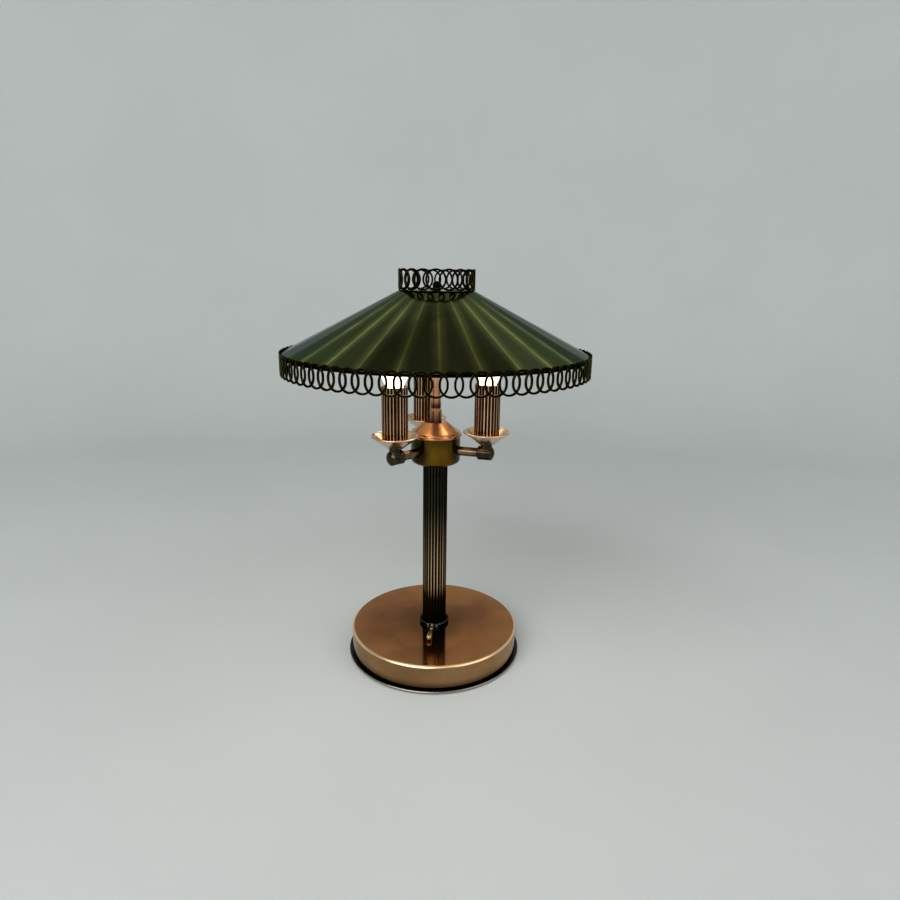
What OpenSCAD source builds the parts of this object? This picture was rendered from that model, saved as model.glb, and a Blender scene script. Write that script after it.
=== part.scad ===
// Table lamp with three candle lights and a panelled cone shade edged with pierced ring galleries.
// Millimetres, +Z up. The origin is on the table under the lamp's axis.
// An azimuth is measured from the front (-Y) towards the right (+X).

/* [Base] */
// Thickness of the felt under the base plate
felt_t = 1; // [1:0.1:3]
// Thickness of the base plate, whose rounded edge shows as the foot
plate_t = 2.6; // [2.2:0.1:5]
// How far the plate's edge stands out past the cover
plate_rim = 3.3; // [2:0.1:8]
// Radius of the spun cover at its lip
cover_r = 88.2; // [75:0.1:100]
// Height of the cover above the base plate
cover_h = 25.2; // [24:0.1:30]
// Sheet thickness of the cover
cover_t = 1.2; // [0.8:0.1:2]
// Radius of the cover's rounded lip
lip_r = 3.2; // [2:0.1:4]
// How far the cover's wall stands in under its lip
lip_step = 0.4; // [0.2:0.05:1]
// Height of the weight's rim
weight_h = 12; // [8:0.5:15]
// Gap between the weight and the cover's wall
weight_gap = 5; // [3:0.5:15]
// Radius of the weight's hub, which carries the cover's middle
hub_r = 18; // [15:0.5:24]
// Depth of the nut's recess under the weight
recess_h = 10; // [9:0.1:12]
// Width of the cord's channel in the weight
channel_w = 9; // [8:0.5:14]
// Distance of the plate's screws from the axis
screw_circle = 60; // [40:1:68]
// Shank diameter of the plate's screws
screw_d = 4; // [3:0.5:5]

/* [Cord inlet] */
// Bore of the cord's bushing
cord_bore = 6.4; // [4:0.1:8]
// Wall of the bushing in the cover's hole
gland_wall = 1.6; // [1:0.1:2.5]
// Height and thickness of the bushing's two flanges
gland_flange = 1.5; // [1:0.1:2]
// Height of the cord inlet above the base plate
cord_rise = 10; // [8.5:0.1:11]

/* [Column] */
// Diameter over the reeds of the column and of the candle sleeves
reed_d = 25; // [22:0.5:30]
// Number of reeds round the tube
reed_count = 24; // [16:1:32]
// Bore of the reeded tube
tube_bore = 20; // [17:0.5:21]
// Length of the column
column_h = 176.5; // [120:0.1:260]
// Height of the collar at the column's foot
collar_h = 4.1; // [4.1:0.1:6]
// Radius of the collar
collar_r = 15.5; // [15:0.1:17]
// Depth of the column's seat in the collar
collar_seat = 0.4; // [0.2:0.1:0.5]
// Chamfer round the collar's top edge
collar_edge = 0.5; // [0.3:0.1:0.6]
// Diameter of the hollow tie rod and of the nipples
rod_d = 8; // [7:0.5:9]
// Bore of the tie rod and of the nipples
rod_bore = 5.4; // [4:0.2:6]

/* [Switch] */
// Azimuth of the switch
switch_az = -6; // [-60:1:60]
// Height of the switch's bushing above the cover
switch_rise = 2; // [1.95:0.05:2.05]
// Width of the switch's body
switch_w = 12; // [11.6:0.1:14]
// Height of the switch's body
switch_h = 13.8; // [13:0.1:13.9]
// Distance between the two screws beside the bushing
switch_screw_gap = 9.2; // [8.6:0.1:9.6]
// Shank diameter of those screws
switch_screw_d = 1.5; // [1.2:0.1:1.6]
// Diameter of the threaded bushing
bushing_d = 2.8; // [2.7:0.1:2.8]
// Diameter of the ring nut on the bushing
ring_nut_d = 3.6; // [3.4:0.1:3.6]
// Thickness of the ring nut
ring_nut_t = 1.2; // [1:0.1:2]
// Depth of the flat on the collar under the ring nut
switch_flat = 0.4; // [0.3:0.1:0.8]
// Length of the lever from its pivot to its tip
lever_l = 28.5; // [20:0.1:30]
// Diameter of the lever's pear-shaped tip
lever_d = 5.6; // [4:0.1:6]
// Diameter of the lever's neck
neck_d = 1.1; // [0.9:0.1:1.2]
// Rise of the lever over the horizontal at rest, in degrees
lever_lift = 3; // [3:0.5:4]
// Diameter of the lever's pivot pin
pin_d = 0.7; // [0.6:0.1:0.8]

/* [Cluster] */
// Radius of the drum that carries the arms
drum_r = 25; // [22:0.5:30]
// Height of the drum
drum_h = 27.2; // [24:0.1:34]
// Wall of the drum
drum_t = 2; // [1.5:0.1:3]
// Radius of the drum's rounded lower edge
drum_round = 4; // [2:0.5:6]
// How far the cap's lip stands out past the drum
cap_lip = 1.6; // [0.5:0.1:4]
// Height of the cap above the drum
cap_h = 14.5; // [11:0.5:20]
// Radius of the cap's flat top
cap_top_r = 11.5; // [9:0.5:14]
// Sheet thickness of the cap
cap_t = 1.5; // [1:0.1:2]

/* [Arms] */
// Azimuth of the first arm
arm_az = -46; // [-60:1:60]
// Distance of the candles from the axis
candle_r = 52.5; // [51:0.5:58]
// Diameter of the arm tubes
arm_d = 9.3; // [8:0.1:10.5]
// Bore of the arm tubes
arm_bore = 6; // [5:0.1:7]
// Height of the arms above the drum's floor
arm_rise = 13.2; // [12:0.1:15]
// Diameter of the arms' ends
end_d = 14; // [13:0.5:17]
// Length of the arms' ends
end_l = 17; // [16:0.5:20]
// Radius of the dome on the arms' ends
dome_r = 9.5; // [9:0.5:15]
// Length of arm tube that an arm's end takes in
arm_socket = 3.5; // [2:0.1:4]

/* [Drip pans] */
// Radius of a drip pan at its rim
pan_r = 22.4; // [19:0.1:24]
// Radius of a drip pan's flat bottom
pan_bottom_r = 8.5; // [8:0.1:10]
// Height of a drip pan
pan_h = 10.8; // [9:0.1:15]
// Sheet thickness of a drip pan
pan_t = 1; // [0.7:0.1:1.4]
// Radius of the bead round a drip pan's rim
pan_bead = 0.8; // [0.6:0.05:1.2]

/* [Candles] */
// Length of a candle sleeve
sleeve_h = 54.5; // [50:0.5:60]
// How far a lampholder stays under the top of its sleeve
holder_drop = 5.5; // [3:0.5:9]
// Depth of a lampholder's socket
socket_depth = 26; // [24:0.5:28]
// Inner diameter of the threaded socket shell
socket_d = 13.9; // [13.5:0.1:14.2]
// Sheet thickness of the socket shell
shell_t = 0.4; // [0.3:0.05:0.5]
// Diameter of a bulb's glass
bulb_d = 35; // [28:0.5:38]
// Length of a bulb's glass
bulb_l = 76; // [50:0.5:80]
// Length of a bulb's threaded cap
bulb_cap_l = 19.5; // [17:0.5:21]

/* [Stem] */
// Diameter of the stem's socket on the cap
stem_socket_d = 12; // [10.5:0.1:14]
// Height of the stem's socket
stem_socket_h = 12.5; // [9:0.5:20]
// Height of the narrow neck over the stem's socket
stem_neck_h = 1.2; // [0.6:0.1:3]
// Diameter of the stem tube
stem_d = 10.4; // [8.5:0.1:10.5]
// Length of the stem tube up to the shade's seat
stem_h = 108.2; // [104:0.1:130]
// Diameter of the stud on top of the stem
stud_d = 6; // [4:0.5:6.5]
// Height of the stud above the shade's seat
stud_h = 11; // [9:0.5:14]

/* [Shade] */
// Outer radius of the lower gallery, the widest part of the lamp
shade_r = 149; // [120:1:180]
// Radius of the cone's top opening at its corners
shade_top_r = 35.9; // [30:0.1:38]
// Rise of the cone
shade_rise = 58.2; // [50:0.2:75]
// Height of the cone's turned-down edge
skirt_h = 3.4; // [2.5:0.1:6]
// Number of flat panels in the cone
panels = 28; // [20:1:36]
// Azimuth of one fold between two panels
fold_az = 2.5; // [-6:0.1:6]
// Sheet thickness of the cone
shade_t = 1; // [0.6:0.1:1.5]
// Radius of the carrier ring under the cone's top
carrier_r = 38; // [36:0.5:41]
// Width of the carrier ring
carrier_w = 6; // [4:0.5:8]
// Thickness of the spider's ring and arms
spider_t = 1.6; // [1:0.1:2.4]
// Width of the spider's arms
spider_w = 6; // [4:0.5:9]
// Thickness of the spider's hub
hub_t = 3; // [2.4:0.1:4]
// Diameter of the finial's ball
finial_d = 8.2; // [8:0.1:11]

/* [Galleries] */
// Outer width of each ring in the pierced strips
ring_d = 19.7; // [18:0.1:21]
// Width of a ring's stroke
ring_w = 1.8; // [1:0.05:2]
// Thickness of the strip
strip_t = 1.4; // [0.6:0.05:1.8]
// Number of rings in the lower gallery
lower_rings = 79; // [75:1:82]
// Number of rings in the upper gallery
upper_rings = 19; // [18:1:20]
// Azimuth of one ring of the lower gallery
lower_az = 1.3; // [-2:0.1:2]
// How far the lower gallery's rings are drawn out above and below their middle
ring_stretch = 0.75; // [0.4:0.05:1.2]
// How far the lower gallery stands up past the cone's lower fold
gallery_lap = 2; // [1:0.1:6]

/* [Hidden] */
$fn = 64;
arm_list = [1, 2, 3];
arm_nodes = ["arm_tube_", "arm_end_", "nipple_", "drip_pan_", "lampholder_", "socket_contacts_",
             "candle_sleeve_", "bulb_cap_", "bulb_glass_"];
single_nodes = ["felt_pad", "base_plate", "plate_screws", "base_weight", "base_cover", "cord_bushing",
                "rod_washer", "rod_nut", "column_collar", "switch_body", "switch_bushing", "switch_nut",
                "switch_pin", "switch_screws", "switch_lever", "column_tube", "tie_rod", "cluster_body",
                "cluster_nut", "terminal_block", "arm_nuts", "cluster_cap", "stem_socket", "stem_tube",
                "shade_spider", "shade_cone", "lower_gallery", "upper_gallery", "finial"];

// Clearances
fit = 0.05;   // radial gap of a thread, a pin or a slip fit
seat = 0.1;   // gap under a piece that rests on another
free = 0.3;   // gap beside a piece that turns
cut = 1;      // how far a cutter runs past a face

// Colours
copper = [0.58, 0.36, 0.24];
dark_bronze = [0.16, 0.13, 0.1];
olive_brass = [0.42, 0.34, 0.14];
pale_brass = [0.85, 0.76, 0.5];
green_lacquer = [0.13, 0.16, 0.1];
steel = [0.6, 0.6, 0.62];
iron = [0.25, 0.25, 0.26];
black_resin = [0.06, 0.06, 0.06];
ceramic_white = [0.92, 0.9, 0.85];
felt_green = [0.12, 0.2, 0.14];
warm_glass = [1, 0.92, 0.75];

// Heights of the base
z_plate = felt_t;
z_cover = z_plate + plate_t;
z_top = z_cover + cover_h;
z_web = z_cover + recess_h;
web_t = 4.5;
plate_r = cover_r + plate_rim;
wall_r = cover_r - lip_step;
weight_r = wall_r - cover_t - weight_gap;
felt_inset = 6;
bottom_curl = 2;

// Tie rod and its fasteners
rod_r = rod_d / 2;
washer_t = 1.5;
washer_r = rod_d * 1.1;
rod_nut_h = 5;
rod_nut_c = rod_d * 0.92;
rod_below_nut = 0.2;
z_rod = z_web - washer_t - rod_nut_h - rod_below_nut;

// Cord bushing
z_cord = z_cover + cord_rise;
gland_r = cord_bore / 2 + gland_wall;
gland_back = sqrt(pow(wall_r - cover_t, 2) - pow(gland_r + gland_flange, 2)) - fit;

// Column and collar
reed_lap = 1.045;
reed_share = reed_lap * sin(180 / reed_count);
reed_circle = reed_d / 2 / (1 + reed_share);
reed_r = reed_share * reed_circle;
hollow_r = tube_bore / 2 + 0.6;
collar_seat_r = reed_d / 2 + fit;
z_column = z_top + collar_h - collar_seat;

// Switch, with radii measured from the lamp's axis
z_switch = z_top + switch_rise;
bushing_r = bushing_d / 2;
spot_r = collar_r - switch_flat;
mouth_r = spot_r + ring_nut_t + 0.5;
pivot_r = mouth_r - 1.7;
switch_face_r = sqrt(pow(hollow_r - seat, 2) - pow(switch_w / 2, 2));
switch_back_r = rod_r + free;
z_switch_body = z_web + web_t + free;
bushing_bore = bushing_r - 0.3;
bushing_floor = 1.4;
switch_head_r = switch_screw_d * 0.77;
switch_head_h = 1.1;
switch_screw_in = 2.5;
head_flat_r = sqrt(pow(collar_r, 2) - pow(switch_screw_gap / 2 + switch_head_r + seat, 2)) - seat;
lever_ball_r = bushing_bore - free - fit;
bead_at = 7;
bead_r = 1.7;

// Cluster
z_drum = z_column + column_h;
z_arm = z_drum + arm_rise;
z_cap = z_drum + drum_h;
z_socket = z_cap + cap_h;
drum_floor = 2.5;
spigot_h = 4;
drum_bore_r = drum_r - drum_t;
cluster_nut_h = 4.5;
cap_skirt_h = 3;
cap_lip_h = 3;
cap_step_h = 5;
block_w = 11;
block_d = 7;
block_h = 5.5;
block_gap = 1.2;

// Arms
arm_nut_c = arm_d * 0.72;
arm_nut_t = 3;
arm_nut_r = sqrt(pow(drum_bore_r, 2) - pow(arm_nut_c, 2)) - seat;
arm_in_r = arm_nut_r - arm_nut_t - 1.2;
end_in_r = candle_r - end_l / 2;
end_boss_r = rod_r + 1.8;
end_boss_h = 3.1;
nipple_lift = 2.8;
nipple_thread = 9;

// Drip pans and candles
z_pan = z_arm + end_d / 2 + end_boss_h;
pan_slope = pan_h / (pan_r - pan_bottom_r);
pan_drop = pan_t * sqrt(1 + pan_slope * pan_slope);
sleeve_lift = pan_drop + (reed_d / 2 - pan_bottom_r) * pan_slope;
z_sleeve = z_pan + sleeve_lift + seat;
z_sleeve_top = z_sleeve + sleeve_h;
z_holder = z_pan + pan_t;
z_holder_top = z_sleeve_top - holder_drop;
z_chamber = z_holder_top - socket_depth;
holder_r = tube_bore / 2 - free;
holder_foot_r = pan_bottom_r - 1;
holder_foot_h = holder_r - holder_foot_r + 0.6;
shell_r = socket_d / 2;
chamber_r = shell_r + shell_t + fit;
shell_lift = 4;
contact_r = 2.4;
contact_t = 1.2;
bulb_cap_r = shell_r - fit;
bulb_tip_t = 2;
z_bulb = z_chamber + contact_t + seat;
z_glass = z_bulb + bulb_tip_t + bulb_cap_l;
bulb_cap_t = 0.4;
bulb_neck_r = bulb_cap_r - 0.3;
glass_t = 0.8;
glass_tip = 1.4;
bulb_belly = 0.45;
bulb_steps = 24;

// Stem
z_stem = z_socket + stem_socket_h;
z_tube = z_stem + stem_neck_h;
z_hub = z_tube + stem_h;
stem_bore_r = 3.3;
rod_in_socket = 8.5;
stem_spigot_h = 8;
stem_plug_h = 8;
stud_r = stud_d / 2;

// Shade
rim_r = shade_r - strip_t - seat;
shade_slope = shade_rise / (rim_r - shade_top_r);
sheet_rise = shade_t * sqrt(1 + shade_slope * shade_slope);
panel_angle = 360 / panels;
z_carrier = z_hub + seat + hub_t;
z_shade_top = z_carrier + seat + sheet_rise
            + shade_slope * (carrier_r / cos(panel_angle / 2) - shade_top_r);
z_rim = z_shade_top - shade_rise;
z_skirt = z_rim - skirt_h;
skirt_in_r = rim_r - shade_t / cos(panel_angle / 2);
z_skirt_in = z_rim - sheet_rise + shade_slope * (rim_r - skirt_in_r);
hub_ledge = 6;
hub_plate_r = stud_r + hub_ledge;
z_finial = z_carrier + free;
finial_foot_r = finial_d * 0.62;
finial_foot_h = 1.6;
finial_neck_r = stud_r + 0.9;
z_finial_ball = z_hub + stud_h - finial_d * 0.12;

// Galleries
ring_out = ring_d / 2;
ring_in = ring_out - ring_w;
ring_trim = 0.06;
crown_r = shade_top_r + strip_t / 2;
z_lower = z_rim + gallery_lap - ring_out - ring_stretch;
z_crown = z_shade_top + seat + ring_out;

// Turns a piece that is drawn towards +X to an azimuth
module at_azimuth(a) {
  rotate(a - 90)
    children();
}

// Turns a piece that is drawn up along Z so that it runs outwards along +X
module outward() {
  rotate([0, 90, 0])
    children();
}

// Places a piece on the axis of one candle
module at_candle(i) {
  at_azimuth(arm_az + 120 * (i - 1))
    translate([candle_r, 0, 0])
      children();
}

// Tube along +Z
module pipe(r, bore_r, h) {
  difference() {
    cylinder(r = r, h = h);
    translate([0, 0, -cut])
      cylinder(r = bore_r, h = h + 2 * cut);
  }
}

// Six-sided nut along +Z, with its corners on a circle of radius c
module hex_nut(c, bore_r, h) {
  difference() {
    cylinder(r = c, h = h, $fn = 6);
    translate([0, 0, -cut])
      cylinder(r = bore_r, h = h + 2 * cut);
  }
}

// Reeded tube along +Z, as used for the column and the candle sleeves
module reeded_tube(h) {
  linear_extrude(h)
    difference() {
      union() {
        circle(reed_circle);
        for (i = [0 : reed_count - 1])
          rotate(i * 360 / reed_count)
            translate([reed_circle, 0])
              circle(reed_r);
      }
      circle(tube_bore / 2);
    }
}

// Base

module felt_pad() {
  color(felt_green)
    cylinder(r = plate_r - felt_inset, h = felt_t);
}

module base_plate() {
  color(dark_bronze)
    difference() {
      translate([0, 0, z_plate])
        rotate_extrude()
          union() {
            square([plate_r - plate_t / 2, plate_t]);
            intersection() {
              translate([plate_r - plate_t / 2, plate_t / 2])
                circle(plate_t / 2);
              square([plate_r + cut, plate_t]);
            }
          }
      screw_places()
        screw_shape(fit);
    }
}

// The three places of the plate's screws
module screw_places() {
  for (a = [60, 180, 300])
    at_azimuth(a)
      translate([screw_circle, 0, z_plate])
        children();
}

// Countersunk screw, head down, grown by a gap
module screw_shape(gap) {
  head_h = screw_d / 2;
  cylinder(r1 = screw_d + gap, r2 = screw_d / 2 + gap, h = head_h);
  cylinder(r = screw_d / 2 + gap, h = plate_t + weight_h * 0.6);
}

module plate_screws() {
  color(steel)
    screw_places()
      screw_shape(0);
}

module base_weight() {
  color(iron)
    difference() {
      union() {
        translate([0, 0, z_cover])
          cylinder(r = weight_r, h = weight_h);
        translate([0, 0, z_cover])
          cylinder(r = hub_r, h = cover_h - cover_t);
      }
      translate([0, 0, z_cover - cut])
        cylinder(r = hub_r - 3, h = recess_h + cut);
      translate([0, 0, z_web + web_t])
        cylinder(r = hollow_r, h = cover_h);
      translate([0, 0, z_web - cut])
        cylinder(r = rod_r + fit, h = web_t + 2 * cut);
      translate([0, hollow_r - rod_bore / 2 - 0.4, z_web - cut])
        cylinder(r = rod_bore / 2, h = web_t + 2 * cut);
      translate([-channel_w / 2, hollow_r - cut, z_cord - channel_w / 2])
        cube([channel_w, weight_r, cover_h]);
      screw_places()
        screw_shape(fit);
    }
}

module base_cover() {
  color(copper)
    difference() {
      translate([0, 0, z_cover])
        rotate_extrude()
          difference() {
            cover_profile(0);
            difference() {
              cover_profile(cover_t);
              translate([0, -cut])
                square([hollow_r, cover_h + 2 * cut]);
            }
            translate([-cut, -cut])
              square([hollow_r + cut, cover_h + 2 * cut]);
          }
      translate([0, wall_r + cut, z_cord])
        rotate([90, 0, 0])
          cylinder(r = gland_r + fit, h = cover_t + 2 * cut + lip_step);
    }
}

// Half section of the cover, filled, and shrunk by the sheet thickness for its inside
module cover_profile(inset) {
  low = inset > 0 ? -cut : 0;
  curl = bottom_curl;
  union() {
    translate([0, low])
      square([wall_r - curl - inset, cover_h - inset - low]);
    translate([0, curl])
      square([wall_r - inset, cover_h - lip_r - curl]);
    translate([wall_r - curl - inset, curl])
      intersection() {
        circle(curl);
        translate([0, -curl])
          square(curl);
      }
    translate([0, cover_h - lip_r - inset])
      square([cover_r - lip_r, lip_r]);
    translate([cover_r - lip_r, cover_h - lip_r])
      circle(lip_r - inset);
  }
}

module cord_bushing() {
  color(black_resin)
    translate([0, gland_back - gland_flange, z_cord])
      rotate([-90, 0, 0])
        difference() {
          union() {
            cylinder(r = gland_r, h = gland_len());
            cylinder(r = gland_r + gland_flange * 0.7, h = gland_flange);
            translate([0, 0, gland_len() - gland_flange])
              cylinder(r = gland_r + gland_flange, h = gland_flange);
          }
          translate([0, 0, -cut])
            cylinder(r = cord_bore / 2, h = gland_len() + 2 * cut);
        }
}

// Length of the bushing, from its inner flange to the face of its outer one
function gland_len() = wall_r + fit - gland_back + 2 * gland_flange;

module rod_washer() {
  color(steel)
    translate([0, 0, z_web - washer_t])
      pipe(washer_r, rod_r + fit, washer_t);
}

module rod_nut() {
  color(steel)
    translate([0, 0, z_web - washer_t - rod_nut_h])
      hex_nut(rod_nut_c, rod_r + fit, rod_nut_h);
}

// Column and switch

module column_collar() {
  color(dark_bronze)
    difference() {
      translate([0, 0, z_top])
        rotate_extrude()
          polygon([[hollow_r, 0],
                   [collar_r, 0],
                   [collar_r, collar_h - collar_edge],
                   [collar_r - collar_edge, collar_h],
                   [collar_seat_r, collar_h],
                   [collar_seat_r, collar_h - collar_seat],
                   [hollow_r, collar_h - collar_seat]]);
      at_azimuth(switch_az)
        translate([0, 0, z_switch]) {
          outward()
            cylinder(r = bushing_r + fit, h = collar_r + cut);
          translate([spot_r, 0, 0])
            outward()
              cylinder(r = ring_nut_d / 2 + seat, h = 2 * cut);
        }
      switch_screw_places() {
        translate([0, 0, switch_face_r - head_flat_r])
          cylinder(r = switch_screw_d / 2 + fit, h = collar_r);
        cylinder(r = switch_head_r + seat, h = 3 * cut);
      }
    }
}

// The two places of the screws beside the switch's bushing, with +Z outwards from the flat under the head
module switch_screw_places() {
  at_azimuth(switch_az)
    for (side = [-1, 1])
      translate([head_flat_r, side * switch_screw_gap / 2, z_switch])
        outward()
          children();
}

module switch_screws() {
  color(steel)
    switch_screw_places() {
      translate([0, 0, switch_face_r - switch_screw_in - head_flat_r])
        cylinder(r = switch_screw_d / 2, h = head_flat_r - switch_face_r + switch_screw_in);
      rotate_extrude()
        intersection() {
          square([switch_head_r, switch_head_h]);
          translate([0, switch_head_h - 1.4 * switch_head_r])
            circle(1.4 * switch_head_r);
        }
    }
}

module switch_body() {
  color(black_resin)
    difference() {
      at_azimuth(switch_az)
        translate([switch_back_r, -switch_w / 2, z_switch_body])
          cube([switch_face_r - switch_back_r, switch_w, switch_h]);
      switch_screw_places()
        translate([0, 0, switch_face_r - switch_screw_in - seat - head_flat_r])
          cylinder(r = switch_screw_d / 2 + fit, h = collar_r);
    }
}

module switch_bushing() {
  color(dark_bronze)
    at_azimuth(switch_az)
      translate([0, 0, z_switch])
        difference() {
          translate([switch_face_r, 0, 0])
            outward()
              cylinder(r = bushing_r, h = mouth_r - switch_face_r);
          translate([switch_face_r + bushing_floor, 0, 0])
            outward()
              cylinder(r = bushing_bore, h = mouth_r);
          pin_shape(0, 2 * bushing_d);
        }
}

// Pivot pin of the lever, grown by a gap
module pin_shape(gap, length) {
  translate([pivot_r, 0, 0])
    rotate([90, 0, 0])
      cylinder(r = pin_d / 2 + gap, h = length, center = true);
}

module switch_nut() {
  color(dark_bronze)
    at_azimuth(switch_az)
      translate([spot_r, 0, z_switch])
        outward()
          difference() {
            rotate_extrude()
              intersection() {
                square([ring_nut_d / 2, ring_nut_t]);
                translate([0, ring_nut_t - ring_nut_d])
                  circle(ring_nut_d);
              }
            translate([0, 0, -cut])
              cylinder(r = bushing_r + fit, h = ring_nut_t + 2 * cut);
          }
}

module switch_pin() {
  color(steel)
    at_azimuth(switch_az)
      translate([0, 0, z_switch])
        pin_shape(0, bushing_d - 2 * fit);
}

// Radius of the lever at a distance s in front of its pivot
function lever_r(s) = let (u = (s - bead_at) / (lever_l - lever_d / 2 - bead_at))
  neck_d / 2 + (lever_d - neck_d) / 2 * pow(sin(90 * min(1, max(0, u))), 1.2);

module switch_lever() {
  belly = lever_l - lever_d / 2;
  steps = 8;
  swell = [for (k = [0 : steps]) let (s = bead_at + (belly - bead_at) * k / steps) [lever_r(s), s]];
  color(pale_brass)
    at_azimuth(switch_az)
      translate([pivot_r, 0, z_switch])
        rotate([0, -lever_lift, 0])
          difference() {
            outward()
              union() {
                sphere(lever_ball_r);
                cylinder(r = neck_d / 2, h = bead_at);
                translate([0, 0, bead_at])
                  sphere(bead_r);
                rotate_extrude()
                  polygon(concat([[0, bead_at]], swell, [[0, belly]]));
                translate([0, 0, belly])
                  sphere(lever_d / 2);
              }
            rotate([90, 0, 0])
              cylinder(r = pin_d / 2 + fit, h = lever_d * 2, center = true);
          }
}

module column_tube() {
  color(dark_bronze)
    translate([0, 0, z_column])
      reeded_tube(column_h);
}

module tie_rod() {
  color(steel)
    translate([0, 0, z_rod])
      pipe(rod_r, rod_bore / 2, z_socket + rod_in_socket - z_rod);
}

// Cluster

module cluster_body() {
  color(olive_brass)
    difference() {
      union() {
        translate([0, 0, z_drum])
          rotate_extrude()
            union() {
              square([drum_r - drum_round, drum_h]);
              translate([0, drum_round])
                square([drum_r, drum_h - drum_round]);
              intersection() {
                translate([drum_r - drum_round, drum_round])
                  circle(drum_round);
                square(drum_r + cut);
              }
            }
        translate([0, 0, z_drum - spigot_h])
          cylinder(r = tube_bore / 2 - fit, h = spigot_h + drum_floor);
      }
      translate([0, 0, z_drum + drum_floor])
        cylinder(r = drum_bore_r, h = drum_h);
      translate([0, 0, z_drum - spigot_h - cut])
        cylinder(r = rod_r + fit, h = drum_h);
      for (i = arm_list)
        at_azimuth(arm_az + 120 * (i - 1))
          translate([drum_r / 2, 0, z_arm])
            outward()
              cylinder(r = arm_d / 2 + fit, h = drum_r);
    }
}

module cluster_nut() {
  color(steel)
    translate([0, 0, z_drum + drum_floor])
      hex_nut(rod_nut_c, rod_r + fit, cluster_nut_h);
}

module terminal_block() {
  color(ceramic_white)
    at_azimuth(arm_az + 60)
      translate([rod_nut_c + block_gap, -block_w / 2, z_drum + drum_floor])
        difference() {
          cube([block_d, block_w, block_h]);
          for (y = [block_w / 4, block_w * 3 / 4])
            translate([-cut, y, block_h / 2])
              outward()
                cylinder(r = block_h / 4, h = block_d + 2 * cut);
        }
}

module arm_nuts() {
  color(steel)
    for (i = arm_list)
      at_azimuth(arm_az + 120 * (i - 1))
        translate([arm_nut_r - arm_nut_t, 0, z_arm])
          outward()
            hex_nut(arm_nut_c, arm_d / 2 + fit, arm_nut_t);
}

module cluster_cap() {
  lip_edge = drum_r + cap_lip;
  lip_round = cap_lip_h / 2;
  skirt_r = drum_bore_r - fit;
  cone_r = drum_r - 1.8;
  hole_r = rod_r + fit;
  color(copper)
    translate([0, 0, z_cap])
      rotate_extrude()
        union() {
          polygon([[hole_r, cap_h - cap_t], [cap_top_r - cap_t, cap_h - cap_t],
                   [skirt_r - cap_t, cap_lip_h - 0.6], [skirt_r - cap_t, -cap_skirt_h],
                   [skirt_r, -cap_skirt_h], [skirt_r, 0], [lip_edge - lip_round, 0],
                   [lip_edge - lip_round, cap_lip_h], [cone_r, cap_step_h], [cap_top_r, cap_h],
                   [hole_r, cap_h]]);
          translate([lip_edge - lip_round, lip_round])
            circle(lip_round);
          translate([cone_r, cap_step_h - 0.9])
            circle(1.2);
        }
}

// Arms

module arm_tube(i) {
  color(dark_bronze)
    at_azimuth(arm_az + 120 * (i - 1))
      translate([arm_in_r, 0, z_arm])
        outward()
          pipe(arm_d / 2, arm_bore / 2, end_in_r + arm_socket - arm_in_r);
}

module arm_end(i) {
  edge = 1;
  color(dark_bronze)
    at_azimuth(arm_az + 120 * (i - 1))
      difference() {
        union() {
          translate([end_in_r, 0, z_arm])
            outward()
              rotate_extrude()
                intersection() {
                  polygon([[0, 0], [end_d / 2 - edge, 0], [end_d / 2, edge], [end_d / 2, end_l],
                           [0, end_l]]);
                  translate([0, end_l - dome_r])
                    circle(dome_r + 0.001);
                  square([end_d, end_l]);
                }
          translate([candle_r, 0, z_arm])
            cylinder(r = end_boss_r, h = z_pan - z_arm);
        }
        translate([end_in_r - cut, 0, z_arm])
          outward()
            cylinder(r = arm_d / 2 + fit, h = arm_socket + fit + cut);
        translate([end_in_r, 0, z_arm])
          outward()
            cylinder(r = arm_bore / 2, h = end_l / 2 + rod_r);
        translate([candle_r, 0, z_arm])
          cylinder(r = rod_r + fit, h = end_d);
      }
}

module nipple(i) {
  low = z_arm + nipple_lift;
  color(steel)
    at_candle(i)
      translate([0, 0, low])
        pipe(rod_r, rod_bore / 2, z_holder + nipple_thread - low);
}

module drip_pan(i) {
  wall_run = pan_r - pan_bottom_r;
  inner_r = pan_bottom_r - (pan_drop - pan_t) / pan_slope;
  color(copper)
    at_candle(i)
      translate([0, 0, z_pan])
        rotate_extrude()
          union() {
            polygon([[rod_r + fit, 0], [pan_bottom_r, 0], [pan_r, pan_h],
                     [pan_r, pan_h + pan_drop], [pan_bottom_r + wall_run / 2, pan_drop + pan_h / 2],
                     [inner_r, pan_t], [rod_r + fit, pan_t]]);
            translate([pan_r, pan_h + pan_drop / 2])
              circle(pan_bead);
          }
}

// Candles

module lampholder(i) {
  color(ceramic_white)
    at_candle(i)
      difference() {
        union() {
          translate([0, 0, z_holder])
            cylinder(r1 = holder_foot_r, r2 = holder_r, h = holder_foot_h);
          translate([0, 0, z_holder + holder_foot_h])
            cylinder(r = holder_r, h = z_holder_top - z_holder - holder_foot_h);
        }
        translate([0, 0, z_holder - cut])
          cylinder(r = rod_r + fit, h = nipple_thread + fit + cut);
        translate([0, 0, z_holder])
          cylinder(r = rod_bore / 2 - 0.5, h = z_chamber - z_holder - 1.5);
        translate([0, 0, z_chamber])
          cylinder(r = chamber_r, h = socket_depth + cut);
      }
}

module socket_contacts(i) {
  color(pale_brass)
    at_candle(i) {
      translate([0, 0, z_chamber + shell_lift])
        pipe(shell_r + shell_t, shell_r, socket_depth - shell_lift - 1);
      translate([0, 0, z_chamber])
        cylinder(r = contact_r, h = contact_t);
    }
}

module candle_sleeve(i) {
  color(copper)
    at_candle(i)
      translate([0, 0, z_sleeve])
        reeded_tube(sleeve_h);
}

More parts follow.
